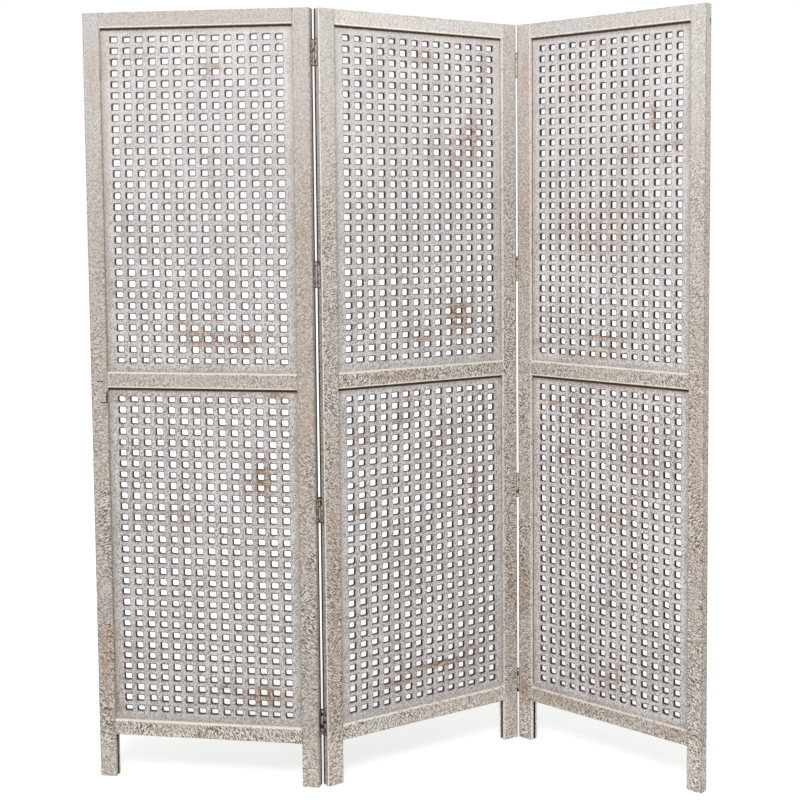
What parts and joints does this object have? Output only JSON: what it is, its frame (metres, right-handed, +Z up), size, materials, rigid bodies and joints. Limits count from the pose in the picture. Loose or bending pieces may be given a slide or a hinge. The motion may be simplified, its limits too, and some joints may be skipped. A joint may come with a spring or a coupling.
{
  "type": "folding jali screen",
  "caption": "Folding screen of framed wooden panels filled with pierced jali lattice boards, hinged in a zigzag so that it stands by itself.",
  "frame": {"origin": "on the floor, at the centre of the box round the three panels as they stand in the picture", "axes": "+Z up, +Y away from the viewer, +X to the viewer's right; the centre panel's right edge is turned 33 degrees away from the viewer"},
  "size_m": [1.3508, 0.349, 1.7],
  "materials": {
    "frame_wood": "limewashed, rough sawn, matt",
    "pierced_board": "limewashed, smoother, matt",
    "hinge_leaves": "dull bronze, partly painted over",
    "hinge_pins": "dull",
    "hinge_screws": "dull"
  },
  "bodies": {
    "centre_panel": {"centre_panel_bottom_rail": "frame_wood", "centre_panel_left_stile": "frame_wood", "centre_panel_lower_board": "pierced_board", "centre_panel_middle_rail": "frame_wood", "centre_panel_right_stile": "frame_wood", "centre_panel_top_rail": "frame_wood", "centre_panel_upper_board": "pierced_board", "left_bottom_hinge_centre_leaf": "hinge_leaves", "left_bottom_hinge_pin": "hinge_pins", "left_hinges_centre_screws": "hinge_screws", "left_lower_hinge_centre_leaf": "hinge_leaves", "left_lower_hinge_pin": "hinge_pins", "left_top_hinge_centre_leaf": "hinge_leaves", "left_top_hinge_pin": "hinge_pins", "left_upper_hinge_centre_leaf": "hinge_leaves", "left_upper_hinge_pin": "hinge_pins", "right_bottom_hinge_centre_leaf": "hinge_leaves", "right_bottom_hinge_pin": "hinge_pins", "right_hinges_centre_screws": "hinge_screws", "right_lower_hinge_centre_leaf": "hinge_leaves", "right_lower_hinge_pin": "hinge_pins", "right_top_hinge_centre_leaf": "hinge_leaves", "right_top_hinge_pin": "hinge_pins", "right_upper_hinge_centre_leaf": "hinge_leaves", "right_upper_hinge_pin": "hinge_pins"},
    "left_panel": {"left_bottom_hinge_outer_leaf": "hinge_leaves", "left_hinges_outer_screws": "hinge_screws", "left_lower_hinge_outer_leaf": "hinge_leaves", "left_panel_bottom_rail": "frame_wood", "left_panel_left_stile": "frame_wood", "left_panel_lower_board": "pierced_board", "left_panel_middle_rail": "frame_wood", "left_panel_right_stile": "frame_wood", "left_panel_top_rail": "frame_wood", "left_panel_upper_board": "pierced_board", "left_top_hinge_outer_leaf": "hinge_leaves", "left_upper_hinge_outer_leaf": "hinge_leaves"},
    "right_panel": {"right_bottom_hinge_outer_leaf": "hinge_leaves", "right_hinges_outer_screws": "hinge_screws", "right_lower_hinge_outer_leaf": "hinge_leaves", "right_panel_bottom_rail": "frame_wood", "right_panel_left_stile": "frame_wood", "right_panel_lower_board": "pierced_board", "right_panel_middle_rail": "frame_wood", "right_panel_right_stile": "frame_wood", "right_panel_top_rail": "frame_wood", "right_panel_upper_board": "pierced_board", "right_top_hinge_outer_leaf": "hinge_leaves", "right_upper_hinge_outer_leaf": "hinge_leaves"}
  },
  "joints": [
    {"name": "left_fold", "type": "hinge", "parent": "centre_panel", "child": "left_panel", "pos_m": [-0.16815, -0.10196, 0.874], "axis": [0, 0, 1], "range_deg": [-138.1, 41.9]},
    {"name": "right_fold", "type": "hinge", "parent": "centre_panel", "child": "right_panel", "pos_m": [0.27432, 0.15676, 0.874], "axis": [0, 0, 1], "range_deg": [-106.3, 73.7]}
  ]
}
